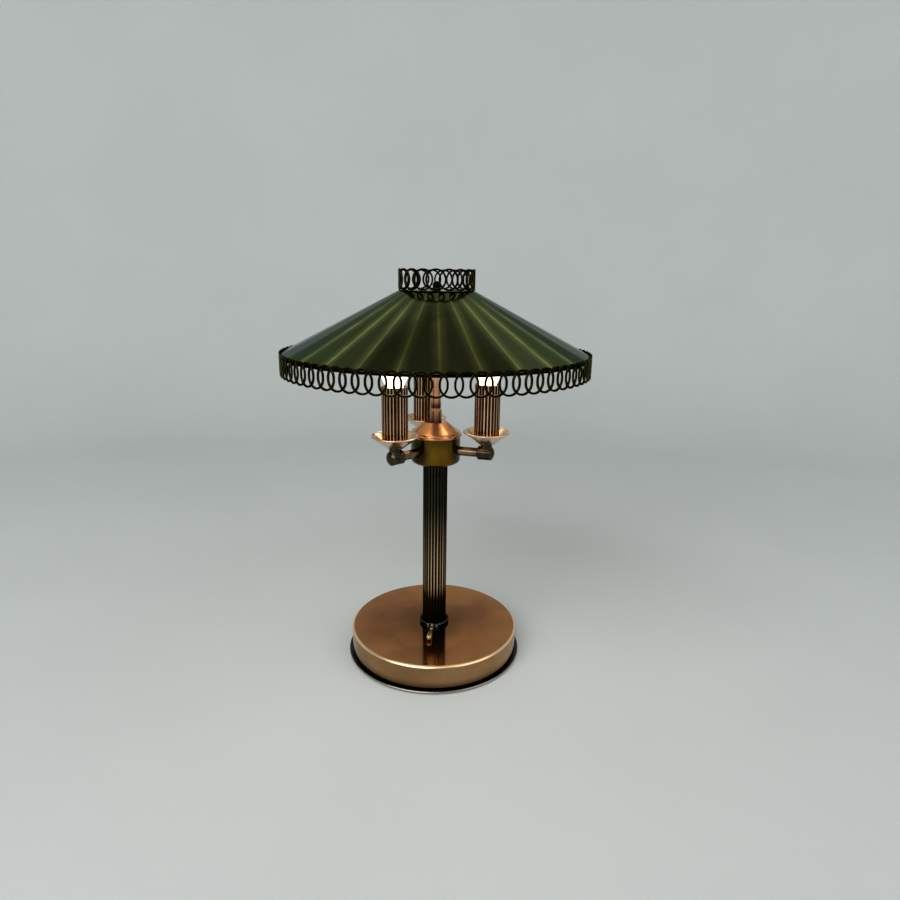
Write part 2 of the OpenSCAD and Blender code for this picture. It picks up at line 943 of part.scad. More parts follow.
module bulb_cap(i) {
  color(steel)
    at_candle(i)
      translate([0, 0, z_bulb])
        difference() {
          rotate_extrude()
            polygon([[0, 0], [contact_r - 0.6, 0], [contact_r, 0.6], [bulb_cap_r, bulb_tip_t + 1.5],
                     [bulb_cap_r, bulb_tip_t + bulb_cap_l], [0, bulb_tip_t + bulb_cap_l]]);
          translate([0, 0, bulb_tip_t + 2])
            cylinder(r = bulb_cap_r - bulb_cap_t, h = bulb_cap_l);
        }
}

// Radius of the bulb's glass at a share u of its length
function glass_r(u) = u < bulb_belly
  ? bulb_neck_r + (bulb_d / 2 - bulb_neck_r) * pow(sin(90 * u / bulb_belly), 2)
  : bulb_d / 2 * pow(cos(90 * (u - bulb_belly) / (1 - bulb_belly)), 0.8);

module bulb_glass(i) {
  shares = [for (k = [0 : bulb_steps - 1]) k / bulb_steps];
  outside = [for (u = shares) [glass_r(u), bulb_l * u]];
  inside = [for (k = [1 : bulb_steps])
    let (u = shares[bulb_steps - k]) [glass_r(u) - glass_t, bulb_l * u]];
  color(warm_glass)
    at_candle(i)
      translate([0, 0, z_glass])
        rotate_extrude()
          polygon(concat(outside, [[0, bulb_l], [0, bulb_l - glass_tip]], inside));
}

// Stem and shade

module stem_socket() {
  r = stem_socket_d / 2;
  edge = 0.6;
  color(copper)
    translate([0, 0, z_socket])
      difference() {
        rotate_extrude()
          polygon([[0, 0], [r, 0], [r, stem_socket_h - edge], [r - edge, stem_socket_h],
                   [stem_d / 2 - 0.5, stem_socket_h], [stem_d / 2 - 0.5, stem_socket_h + stem_neck_h],
                   [stem_bore_r - fit, stem_socket_h + stem_neck_h],
                   [stem_bore_r - fit, stem_socket_h + stem_neck_h + stem_spigot_h],
                   [0, stem_socket_h + stem_neck_h + stem_spigot_h]]);
        translate([0, 0, -cut])
          cylinder(r = rod_r + fit, h = rod_in_socket + seat + cut);
      }
}

module stem_tube() {
  color(copper)
    difference() {
      union() {
        translate([0, 0, z_tube])
          cylinder(r = stem_d / 2, h = stem_h);
        translate([0, 0, z_hub])
          cylinder(r = stud_r, h = stud_h);
      }
      translate([0, 0, z_tube - cut])
        cylinder(r = stem_bore_r, h = stem_h - stem_plug_h + cut);
    }
}

module shade_spider() {
  color(dark_bronze)
    translate([0, 0, z_hub + seat])
      difference() {
        union() {
          cylinder(r = hub_plate_r, h = hub_t);
          translate([0, 0, hub_t - spider_t])
            pipe(carrier_r, carrier_r - carrier_w, spider_t);
          for (a = [0, 120, 240])
            rotate(a)
              translate([0, -spider_w / 2, hub_t - spider_t])
                cube([carrier_r - carrier_w / 2, spider_w, spider_t]);
        }
        translate([0, 0, -cut])
          cylinder(r = stud_r + fit, h = hub_t + 2 * cut);
      }
}

// Corner k of one of the cone's edges
function cone_corner(r, z, k) =
  let (a = fold_az - 90 + panel_angle * k) [r * cos(a), r * sin(a), z];

module shade_cone() {
  rings = [[rim_r, z_rim], [shade_top_r, z_shade_top], [shade_top_r, z_shade_top - sheet_rise],
           [skirt_in_r, z_skirt_in], [skirt_in_r, z_skirt], [rim_r, z_skirt]];
  last = len(rings) - 1;
  points = [for (ring = rings, k = [0 : panels - 1]) cone_corner(ring[0], ring[1], k)];
  faces = [for (j = [0 : last], k = [0 : panels - 1])
    let (n = (k + 1) % panels, m = (j + 1) % (last + 1))
      [j * panels + k, m * panels + k, m * panels + n, j * panels + n]];
  color(green_lacquer)
    polyhedron(points, faces);
}

// Pierced strip of interlaced rings bent round the axis, with one ring towards +X. The rings are drawn
// out by stretch above and below their middle.
module gallery(r, count, stretch) {
  pitch = 2 * PI * r / count;
  half_h = ring_out + stretch - ring_trim;
  notch_edge = 0.8;
  depth = 6 * strip_t;
  difference() {
    cylinder(r = r, h = 2 * half_h, center = true);
    cylinder(r = r - strip_t, h = 2 * half_h + cut, center = true);
    for (i = [0 : count - 1])
      rotate(i * 360 / count) {
        pierce(r, depth)
          waist_hole(pitch, stretch);
        rotate(180 / count)
          pierce(r, depth) {
            lens_hole(pitch, stretch);
            for (side = [0, 1])
              mirror([0, side])
                edge_notch(pitch, notch_edge, stretch);
          }
      }
  }
}

// Cutter through the strip at +X, from an outline in the strip's plane
module pierce(r, depth) {
  translate([r, 0, 0])
    rotate([90, 0, 90])
      linear_extrude(depth, center = true)
        children();
}

// Disc of one ring's outer or inner radius, drawn out by stretch
module ring_disc(r, stretch) {
  for (y = stretch > 0 ? [-stretch, stretch] : [0])
    translate([0, y])
      circle(r);
}

// Inside of one ring between its two neighbours
module waist_hole(pitch, stretch) {
  difference() {
    ring_disc(ring_in, stretch);
    for (k = [-1, 1])
      translate([k * pitch, 0])
        ring_disc(ring_out, stretch);
  }
}

// Where two neighbouring rings overlap
module lens_hole(pitch, stretch) {
  intersection() {
    translate([-pitch / 2, 0])
      ring_disc(ring_in, stretch);
    translate([pitch / 2, 0])
      ring_disc(ring_in, stretch);
  }
}

// Dip between the tops of two neighbouring rings
module edge_notch(pitch, edge, stretch) {
  difference() {
    translate([-pitch / 2 + edge, ring_out / 2])
      square([pitch - 2 * edge, ring_out]);
    for (k = [-1, 1])
      translate([k * pitch / 2, 0])
        ring_disc(ring_out, stretch);
  }
}

module lower_gallery() {
  color(dark_bronze)
    translate([0, 0, z_lower])
      at_azimuth(lower_az)
        gallery(shade_r, lower_rings, ring_stretch);
}

module upper_gallery() {
  color(dark_bronze)
    translate([0, 0, z_crown])
      at_azimuth(0)
        gallery(crown_r, upper_rings, 0);
}

module finial() {
  color(dark_bronze)
    difference() {
      union() {
        translate([0, 0, z_finial])
          cylinder(r = finial_foot_r, h = finial_foot_h);
        translate([0, 0, z_finial])
          cylinder(r = finial_neck_r, h = z_finial_ball - z_finial);
        translate([0, 0, z_finial_ball])
          sphere(finial_d / 2);
      }
      translate([0, 0, z_finial - cut])
        cylinder(r = stud_r + fit, h = z_hub + stud_h + seat - z_finial + cut);
    }
}

felt_pad();
base_plate();
plate_screws();
base_weight();
base_cover();
cord_bushing();
rod_washer();
rod_nut();
column_collar();
switch_body();
switch_bushing();
switch_nut();
switch_pin();
switch_screws();
switch_lever();
column_tube();
tie_rod();
cluster_body();
cluster_nut();
terminal_block();
arm_nuts();
cluster_cap();
stem_socket();
stem_tube();
shade_spider();
shade_cone();
lower_gallery();
upper_gallery();
finial();
for (i = arm_list) {
  arm_tube(i);
  arm_end(i);
  nipple(i);
  drip_pan(i);
  lampholder(i);
  socket_contacts(i);
  candle_sleeve(i);
  bulb_cap(i);
  bulb_glass(i);
}
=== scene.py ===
import math

import bmesh
import bpy
from mathutils import Matrix, Vector, noise


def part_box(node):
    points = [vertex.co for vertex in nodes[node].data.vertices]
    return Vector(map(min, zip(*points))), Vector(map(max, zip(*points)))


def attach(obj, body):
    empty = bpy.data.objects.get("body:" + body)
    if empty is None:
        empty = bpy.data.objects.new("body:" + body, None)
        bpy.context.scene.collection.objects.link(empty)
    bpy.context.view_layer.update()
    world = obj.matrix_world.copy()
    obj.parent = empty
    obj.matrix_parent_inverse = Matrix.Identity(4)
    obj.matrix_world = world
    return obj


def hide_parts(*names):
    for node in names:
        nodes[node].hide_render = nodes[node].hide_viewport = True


# Looks of the table lamp: materials for the CAD nodes, two pieces that are drawn here, floor, light
# and camera

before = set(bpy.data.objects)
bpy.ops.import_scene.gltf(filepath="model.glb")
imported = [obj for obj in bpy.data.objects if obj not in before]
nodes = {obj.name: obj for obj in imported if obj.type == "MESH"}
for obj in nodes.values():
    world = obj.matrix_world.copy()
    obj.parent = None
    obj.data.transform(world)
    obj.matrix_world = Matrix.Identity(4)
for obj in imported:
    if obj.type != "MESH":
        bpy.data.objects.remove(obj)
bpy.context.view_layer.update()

# Sizes of the solids that the looks follow, in metres, and azimuths in degrees from the front
# towards +X
ARMS = (1, 2, 3)
ARM_AZIMUTH = {1: -46.0, 2: 74.0, 3: 194.0}
CANDLE_CIRCLE = 0.0525
PANELS = 28
FOLD_AZIMUTH = 2.5
CONE_RIM, CONE_TOP, CONE_SKIRT, CONE_SHEET = 0.1475, 0.0359, 0.0034, 0.001
DRUM_R, ARM_HEIGHT = 0.025, 0.2222
LIP_R, LIP_ROUND, FOOT_TOP, COLLAR_R = 0.0882, 0.0032, 0.0036, 0.0155

# Painted highlight along the base plate's rim and the reeds' crests: the two radii between which
# they get bright, and how much
FOOT_RIM = (0.0908, 0.0914, 0.6)
COLUMN_REED = (0.01234, 0.0125, 0.9)
SLEEVE_REED = (0.0124, 0.0125, 1.0)
# Heights between which the painted highlight on the column's reeds comes to its full brightness and
# fades again, and the shares of it that are left below and above; below, near the foot, it leaves
# painted shade
COLUMN_HIGHLIGHT = (0.0585, 0.0785, 0.088, 0.17)
BRIGHT_BELOW, BRIGHT_ABOVE = 0.004, 0.05
# Heights of the orange foot and of the pale part of a bulb
BULB_FOOT, BULB_PALE = 0.283, 0.305

# Turning marks: their pitch and depth, how strongly they show, and what they add to the roughness
MARK_PITCH, MARK_DEPTH, MARK_BUMP, MARK_ROUGH = 0.0006, 0.0001, 0.06, 0.06

# Rounding of the cone's folds, and the angle in degrees past which an edge stays sharp
FOLD_ROUND, FOLD_STEPS, FOLD_SHARP = 0.0012, 4, 30.0

# Felt: the round of its edge, and how far and how finely its outline wavers
FELT_EDGE, FELT_STEPS = 0.00035, 360
FUZZ_DEPTH, FUZZ_INSET, FUZZ_RATE = 0.00015, 0.00012, 900.0

# Camera of the photo's view, and the point that the lights face
CAMERA_PLACE, CAMERA_LENS, CAMERA_SENSOR = (0.0147, -0.636, 0.3903), 25.96, 36.0
CAMERA_TILT, CAMERA_ROLL = 75.1, 0.8
LAMP_MIDDLE = (0.0, 0.0, 0.2)


def candle_axis(i):
    """Point on the table under the axis of candle i."""
    a = math.radians(ARM_AZIMUTH[i])
    return Vector((CANDLE_CIRCLE * math.sin(a), -CANDLE_CIRCLE * math.cos(a), 0.0))


# Node helpers

def feed(tree, socket, value):
    """Gives a socket a value, or links another node's output to it."""
    if isinstance(value, bpy.types.NodeSocket):
        tree.links.new(value, socket)
    else:
        socket.default_value = value


def put(tree, kind, inputs=None, **settings):
    """Adds a node. inputs maps a socket's name or number to a value or to another node's output."""
    n = tree.nodes.new(kind)
    for key, value in settings.items():
        setattr(n, key, value)
    for key, value in (inputs or {}).items():
        feed(tree, n.inputs[key], value)
    return n


def maths(tree, operation, a, b=0.0):
    """Output of a maths node."""
    return put(tree, "ShaderNodeMath", {0: a, 1: b}, operation=operation).outputs[0]


def remap(tree, value, low, high, to_low=0.0, to_high=1.0):
    """value from low to high, smoothly, as to_low to to_high."""
    inputs = {"Value": value, "From Min": low, "From Max": high,
              "To Min": to_low, "To Max": to_high}
    n = put(tree, "ShaderNodeMapRange", inputs, interpolation_type="SMOOTHSTEP")
    return n.outputs["Result"]


def blend(tree, share, a, b):
    """Colour a at share 0 and b at share 1."""
    n = put(tree, "ShaderNodeMix", {"Factor": share}, data_type="RGBA")
    for socket, value in ((n.inputs[6], a), (n.inputs[7], b)):
        feed(tree, socket, value if isinstance(value, bpy.types.NodeSocket) else (*value, 1.0))
    return n.outputs[2]


def noise_at(tree, place, scale, detail, rough=0.5, distortion=0.0):
    """Smooth noise at a place."""
    inputs = {"Vector": place, "Scale": scale, "Detail": detail, "Roughness": rough,
              "Distortion": distortion}
    return put(tree, "ShaderNodeTexNoise", inputs).outputs[0]


def new_group(name, inputs, outputs):
    """Node group with these sockets. Returns the tree, its inputs and its outputs."""
    tree = bpy.data.node_groups.new(name, "ShaderNodeTree")
    for label, kind, value in inputs:
        s = tree.interface.new_socket(label, in_out="INPUT", socket_type=kind)
        if value is not None:
            s.default_value = value
    for label, kind in outputs:
        tree.interface.new_socket(label, in_out="OUTPUT", socket_type=kind)
    return tree, tree.nodes.new("NodeGroupInput").outputs, tree.nodes.new("NodeGroupOutput").inputs


def use(tree, shared, **inputs):
    """Outputs of a shared effect in a material."""
    return put(tree, "ShaderNodeGroup", inputs, node_tree=shared).outputs


# Shared effects

def make_patina():
    """Cloudy tarnish and fine specks."""
    tree, given, out = new_group(
        "patina",
        [("Position", "NodeSocketVector", None), ("Size", "NodeSocketFloat", 0.02)],
        [("Cloud", "NodeSocketFloat"), ("Speck", "NodeSocketFloat")])
    rate = maths(tree, "DIVIDE", 1.0, given["Size"])
    fine_rate = maths(tree, "MULTIPLY", rate, 22.0)
    cloud = noise_at(tree, given["Position"], rate, 5.0, 0.6)
    fine = noise_at(tree, given["Position"], fine_rate, 3.0, 0.65)
    tree.links.new(remap(tree, cloud, 0.36, 0.66), out["Cloud"])
    tree.links.new(remap(tree, fine, 0.58, 0.76), out["Speck"])
    return tree


def make_spun():
    """Fine turning marks round an upright axis."""
    tree, given, out = new_group(
        "spun",
        [("Position", "NodeSocketVector", None), ("Centre", "NodeSocketVector", None),
         ("Pitch", "NodeSocketFloat", MARK_PITCH)],
        [("Marks", "NodeSocketFloat"), ("Radius", "NodeSocketFloat")])
    local = put(tree, "ShaderNodeVectorMath", {0: given["Position"], 1: given["Centre"]},
                operation="SUBTRACT").outputs[0]
    axes = put(tree, "ShaderNodeSeparateXYZ", {0: local}).outputs
    flat = put(tree, "ShaderNodeCombineXYZ", {"X": axes["X"], "Y": axes["Y"]}).outputs[0]
    radius = put(tree, "ShaderNodeVectorMath", {0: flat}, operation="LENGTH").outputs["Value"]
    rate = maths(tree, "DIVIDE", 1.0, given["Pitch"])
    out_marks = maths(tree, "MULTIPLY", radius, rate)
    up_marks = maths(tree, "MULTIPLY", axes["Z"], rate)
    section = put(tree, "ShaderNodeCombineXYZ", {"X": out_marks, "Y": up_marks}).outputs[0]
    tree.links.new(noise_at(tree, section, 1.0, 3.0, 0.7), out["Marks"])
    tree.links.new(radius, out["Radius"])
    return tree


def make_edges():
    """Rounded normals, and where edges stand out to be rubbed bright."""
    tree, given, out = new_group("edges", [("Round", "NodeSocketFloat", 0.0006)],
                                 [("Edge", "NodeSocketFloat"), ("Normal", "NodeSocketVector")])
    soft = put(tree, "ShaderNodeBevel", {"Radius": given["Round"]}, samples=6).outputs[0]
    true = put(tree, "ShaderNodeNewGeometry").outputs["Normal"]
    along = put(tree, "ShaderNodeVectorMath", {0: soft, 1: true}, operation="DOT_PRODUCT")
    tree.links.new(remap(tree, along.outputs["Value"], 0.99, 0.8), out["Edge"])
    tree.links.new(soft, out["Normal"])
    return tree


PATINA = make_patina()
SPUN = make_spun()
EDGES = make_edges()


# Materials

def new_material(name):
    """Empty material. Returns it, its tree, its shader's inputs and places in the part's frame."""
    m = bpy.data.materials.new(name)
    m.use_nodes = True
    tree = m.node_tree
    tree.nodes.clear()
    shader = put(tree, "ShaderNodeBsdfPrincipled")
    put(tree, "ShaderNodeOutputMaterial", {"Surface": shader.outputs[0]})
    place = put(tree, "ShaderNodeTexCoord").outputs["Object"]
    return m, tree, shader.inputs, place


def link_all(tree, shader, values):
    """Sets or links the shader's inputs by name."""
    for key, value in values.items():
        feed(tree, shader[key], value)


def relief(tree, height, strength, distance, normal=None):
    """Normal bumped by height."""
    inputs = {"Height": height, "Strength": strength, "Distance": distance}
    if normal is not None:
        inputs["Normal"] = normal
    return put(tree, "ShaderNodeBump", inputs).outputs[0]


def turned_finish(tree, shader, tone, old, turned, edges, matt, smooth, grazing=(1.0, 1.0, 1.0)):
    """Metal with fine turning marks, whose roughness goes from matt to smooth with the clouds of
    its patina. grazing tints what it mirrors at a flat angle."""
    rough = maths(tree, "ADD", remap(tree, old["Cloud"], 0.0, 1.0, matt, smooth),
                  maths(tree, "MULTIPLY", turned["Marks"], MARK_ROUGH))
    normal = relief(tree, turned["Marks"], MARK_BUMP, MARK_DEPTH, edges["Normal"])
    link_all(tree, shader, {"Base Color": tone, "Metallic": 1.0, "Roughness": rough,
                            "Specular Tint": (*grazing, 1.0), "Normal": normal})


def metal(name, deep, bright, rubbed, rough, centre=(0.0, 0.0, 0.0), size=0.03, edge=0.0005,
          wear=0.7, speck=0.15, crest=None, uneven=0.0, highlight_heights=None, grazing=(1.0, 1.0, 1.0)):
    """Patinated metal, cloudy between two tones and rubbed bright on its edges. crest gives the two
    radii between which a painted highlight makes it bright too, and how much; uneven makes the
    painted highlight weaker on some reeds than on others. highlight_heights gives four heights: the
    painted highlight on the reeds comes on from the first to the second and fades from the third to
    the fourth, leaving painted shade near the foot. grazing tints what the metal mirrors at a flat
    angle."""
    m, tree, shader, place = new_material(name)
    old = use(tree, PATINA, Position=place, Size=size)
    turned = use(tree, SPUN, Position=place, Centre=centre)
    edges = use(tree, EDGES, Round=edge)
    tone = blend(tree, old["Cloud"], deep, bright)
    tone = blend(tree, maths(tree, "MULTIPLY", old["Speck"], speck), tone, [c * 0.3 for c in deep])
    wear_and_highlight = maths(tree, "MULTIPLY", edges["Edge"], wear)
    # Painted highlight along the crests of reeds and rims, added to the rubbed edges
    if crest:
        axes = put(tree, "ShaderNodeSeparateXYZ", {0: place}).outputs
        plan = put(tree, "ShaderNodeCombineXYZ", {"X": axes["X"], "Y": axes["Y"]}).outputs[0]
        chance = noise_at(tree, plan, 420.0, 1.0)
        crest_highlight = remap(tree, turned["Radius"], crest[0], crest[1], 0.0, crest[2])
        crest_highlight = maths(tree, "MULTIPLY", crest_highlight, remap(tree, chance, 0.35, 0.62, 1.0 - uneven, 1.0))
        # Painted highlight only between given heights, with painted shade below
        if highlight_heights:
            below = remap(tree, axes["Z"], highlight_heights[0], highlight_heights[1], BRIGHT_BELOW, 1.0)
            above = remap(tree, axes["Z"], highlight_heights[2], highlight_heights[3], 1.0, BRIGHT_ABOVE)
            crest_highlight = maths(tree, "MULTIPLY", maths(tree, "MULTIPLY", crest_highlight, below), above)
        wear_and_highlight = maths(tree, "MAXIMUM", wear_and_highlight, crest_highlight)
    tone = blend(tree, wear_and_highlight, tone, rubbed)
    turned_finish(tree, shader, tone, old, turned, edges, rough + 0.05, rough - 0.03, grazing)
    return m


def plain(name, tone, other, rough, metallic=0.0, bump=0.1, coat=0.0):
    """Moulded or cast stuff: two close tones, a fine surface and softened edges."""
    m, tree, shader, place = new_material(name)
    old = use(tree, PATINA, Position=place, Size=0.01)
    edges = use(tree, EDGES, Round=0.0004)
    gloss = remap(tree, old["Cloud"], 0.0, 1.0, rough - 0.05, rough + 0.07)
    link_all(tree, shader, {"Base Color": blend(tree, old["Cloud"], tone, other),
                            "Roughness": gloss, "Metallic": metallic, "Coat Weight": coat,
                            "Normal": relief(tree, old["Speck"], bump, 0.0002, edges["Normal"])})
    return m


def cover_material():
    """Spun copper of the base, brown on top and, as painted reflection, more golden on the wall;
    painted reflection lightens the top towards the lip, painted shade darkens it round the collar
    and the wall at its foot, and a painted highlight runs along the lip.
    """
    m, tree, shader, place = new_material("copper_cover")
    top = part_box("base_cover")[1][2]
    old = use(tree, PATINA, Position=place, Size=0.07)
    turned = use(tree, SPUN, Position=place)
    edges = use(tree, EDGES, Round=0.0004)
    height = put(tree, "ShaderNodeSeparateXYZ", {0: place}).outputs["Z"]
    flat_tone = blend(tree, old["Cloud"], (0.245, 0.088, 0.028), (0.405, 0.156, 0.048))
    # Painted reflection: the top lightened towards the lip
    top_reflection = remap(tree, turned["Radius"], 0.055, LIP_R, 0.0, 0.28)
    flat_tone = blend(tree, top_reflection, flat_tone, (0.6, 0.28, 0.11))
    # Painted shade round the collar on the top
    collar_shade = remap(tree, turned["Radius"], COLLAR_R, 0.05, 0.65, 0.0)
    flat_tone = blend(tree, collar_shade, flat_tone, (0.08, 0.028, 0.006))
    # The wall's more golden copy of the copper is a painted reflection of the pale floor
    wall_tone = blend(tree, old["Cloud"], (0.27, 0.146, 0.063), (0.38, 0.218, 0.099))
    # Painted shade: the wall darkens towards its foot, next to the plate
    wall_foot_shade = remap(tree, height, FOOT_TOP, FOOT_TOP + 0.01, 0.9, 0.0)
    wall_tone = blend(tree, wall_foot_shade, wall_tone, (0.02, 0.01, 0.006))
    on_wall = remap(tree, height, top - LIP_ROUND, top - 0.0003, 1.0, 0.0)
    tone = blend(tree, on_wall, flat_tone, wall_tone)
    tone = blend(tree, maths(tree, "MULTIPLY", old["Speck"], 0.1), tone, (0.05, 0.02, 0.01))
    # Painted highlight along the lip: a band on the lip's round, lightened towards pale gold and
    # made rougher
    out = maths(tree, "ADD", maths(tree, "SUBTRACT", turned["Radius"], LIP_R - LIP_ROUND),
                maths(tree, "SUBTRACT", height, top - LIP_ROUND))
    lip = remap(tree, out, LIP_ROUND * 1.18, LIP_ROUND * 1.38)
    tone = blend(tree, maths(tree, "MULTIPLY", lip, 0.9), tone, (1.0, 0.7, 0.42))
    tone = blend(tree, maths(tree, "MULTIPLY", edges["Edge"], 0.6), tone, (0.8, 0.55, 0.3))
    rough = maths(tree, "ADD", remap(tree, old["Cloud"], 0.0, 1.0, 0.13, 0.09),
                  maths(tree, "MULTIPLY", lip, 0.2))
    normal = relief(tree, turned["Marks"], 0.03, MARK_DEPTH, edges["Normal"])
    link_all(tree, shader, {"Base Color": tone, "Metallic": 1.0, "Roughness": rough,
                            "Specular Tint": (1.0, 0.93, 0.86, 1.0), "Normal": normal})
    return m


def drum_material():
    """Olive brass of the drum, with a painted shadow under the cap and a painted dark reflection
    round the arm roots.
    """
    m, tree, shader, place = new_material("drum_brass")
    old = use(tree, PATINA, Position=place, Size=0.05)
    turned = use(tree, SPUN, Position=place)
    edges = use(tree, EDGES, Round=0.0005)
    height = put(tree, "ShaderNodeSeparateXYZ", {0: place}).outputs["Z"]
    tone = blend(tree, old["Cloud"], (0.1, 0.054, 0.005), (0.19, 0.108, 0.011))
    # Painted shadow under the cap: darker towards the top of the drum
    cap_shadow = remap(tree, height, ARM_HEIGHT - 0.004, ARM_HEIGHT + 0.016, 0.0, 0.8)
    tone = blend(tree, cap_shadow, tone, (0.03, 0.016, 0.004))
    # Painted dark reflection round each arm root
    for i in ARMS:
        a = math.radians(ARM_AZIMUTH[i])
        root = (DRUM_R * math.sin(a), -DRUM_R * math.cos(a), ARM_HEIGHT)
        away = put(tree, "ShaderNodeVectorMath", {0: place, 1: root}, operation="DISTANCE")
        arm_root_reflection = remap(tree, away.outputs["Value"], 0.008, 0.02, 0.92, 0.0)
        tone = blend(tree, arm_root_reflection, tone, (0.012, 0.008, 0.003))
    tone = blend(tree, maths(tree, "MULTIPLY", edges["Edge"], 0.7), tone, (0.6, 0.48, 0.2))
    turned_finish(tree, shader, tone, old, turned, edges, 0.2, 0.14)
    return m


def stem_material():
    """Copper of the stem and its socket, darker in a band just above the socket and over the
    socket, most towards its foot.
    """
    m, tree, shader, place = new_material("copper_stem")
    low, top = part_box("stem_socket")[0][2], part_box("stem_tube")[0][2]
    old = use(tree, PATINA, Position=place, Size=0.02)
    turned = use(tree, SPUN, Position=place)
    edges = use(tree, EDGES, Round=0.0004)
    height = put(tree, "ShaderNodeSeparateXYZ", {0: place}).outputs["Z"]
    tone = blend(tree, old["Cloud"], (0.62, 0.29, 0.14), (0.82, 0.44, 0.23))
    band = maths(tree, "MULTIPLY", remap(tree, height, top, top + 0.0005),
                 remap(tree, height, top + 0.002, top + 0.011, 0.95, 0.0))
    foot = remap(tree, height, low, top, 0.9, 0.3)
    foot = maths(tree, "MULTIPLY", foot, remap(tree, height, top - 0.0005, top, 1.0, 0.0))
    tone = blend(tree, maths(tree, "MAXIMUM", band, foot), tone, (0.03, 0.012, 0.01))
    tone = blend(tree, maths(tree, "MULTIPLY", edges["Edge"], 0.5), tone, (0.95, 0.7, 0.5))
    turned_finish(tree, shader, tone, old, turned, edges, 0.24, 0.17)
    return m


cover_metal = cover_material()
cap_metal = metal("copper_cap", (0.48, 0.21, 0.085), (0.62, 0.3, 0.13), (0.98, 0.72, 0.46), 0.15,
                  speck=0.0)
stem_metal = stem_material()
collar_metal = metal("collar_bronze", (0.004, 0.004, 0.0035), (0.012, 0.0115, 0.009),
                     (0.8, 0.77, 0.68), 0.16, edge=0.0006, wear=0.9, grazing=(0.5, 0.5, 0.45))
# The column's reeds get a painted highlight at mid-height and painted shade near the foot
column_metal = metal("column_bronze", (0.004, 0.0055, 0.0036), (0.01, 0.0125, 0.0078),
                     (0.75, 0.5, 0.285), 0.2, crest=COLUMN_REED, uneven=0.65, highlight_heights=COLUMN_HIGHLIGHT,
                     wear=0.0, grazing=(0.3, 0.3, 0.24))
# The plate's outermost rim gets a painted highlight
foot_metal = metal("foot_black", (0.006, 0.005, 0.004), (0.014, 0.012, 0.01), (0.6, 0.52, 0.42),
                   0.22, edge=0.0003, crest=FOOT_RIM)
drum_metal = drum_material()
arm_metal = metal("arm_bronze", (0.06, 0.038, 0.02), (0.23, 0.15, 0.085), (0.8, 0.6, 0.38), 0.14,
                  size=0.02)
arm_end_metal = metal("arm_end_bronze", (0.018, 0.014, 0.008), (0.07, 0.053, 0.03),
                      (0.6, 0.47, 0.3), 0.14, size=0.02)
strip_metal = metal("strip_bronze", (0.002, 0.0018, 0.001), (0.01, 0.009, 0.003),
                    (0.17, 0.15, 0.05), 0.3, size=0.015, edge=0.00025, grazing=(0.5, 0.48, 0.3))
lever_metal = metal("lever_brass", (0.3, 0.24, 0.09), (0.48, 0.39, 0.17), (0.95, 0.85, 0.55), 0.3,
                    size=0.01)
blued_steel = metal("blued_steel", (0.06, 0.06, 0.06), (0.15, 0.15, 0.15), (0.6, 0.6, 0.6), 0.25,
                    size=0.01)
steel = metal("steel", (0.28, 0.28, 0.29), (0.5, 0.5, 0.51), (0.8, 0.8, 0.8), 0.34, size=0.01)
cap_shell = metal("bulb_cap_metal", (0.45, 0.45, 0.46), (0.6, 0.6, 0.61), (0.8, 0.8, 0.8), 0.3,
                  size=0.01)
iron = plain("iron", (0.05, 0.05, 0.052), (0.1, 0.095, 0.09), 0.62, 0.8, bump=0.5)
resin = plain("black_resin", (0.012, 0.012, 0.012), (0.022, 0.021, 0.02), 0.45)
porcelain = plain("porcelain", (0.78, 0.75, 0.68), (0.85, 0.83, 0.78), 0.2, coat=0.5)


def sleeve_metal(i):
    """Reeded copper of one candle sleeve."""
    # The reeds' crests get a painted highlight
    return metal("copper_sleeve_%d" % i, (0.014, 0.006, 0.003), (0.055, 0.022, 0.01),
                 (0.95, 0.56, 0.33), 0.15, centre=candle_axis(i), size=0.02, edge=0.0002, wear=0.2,
                 crest=SLEEVE_REED, uneven=0.7)


def pan_metal(i):
    """Spun copper of one drip pan."""
    return metal("copper_pan_%d" % i, (0.62, 0.44, 0.32), (0.85, 0.66, 0.5), (1.0, 0.92, 0.82),
                 0.15, centre=candle_axis(i), size=0.02, speck=0.05)


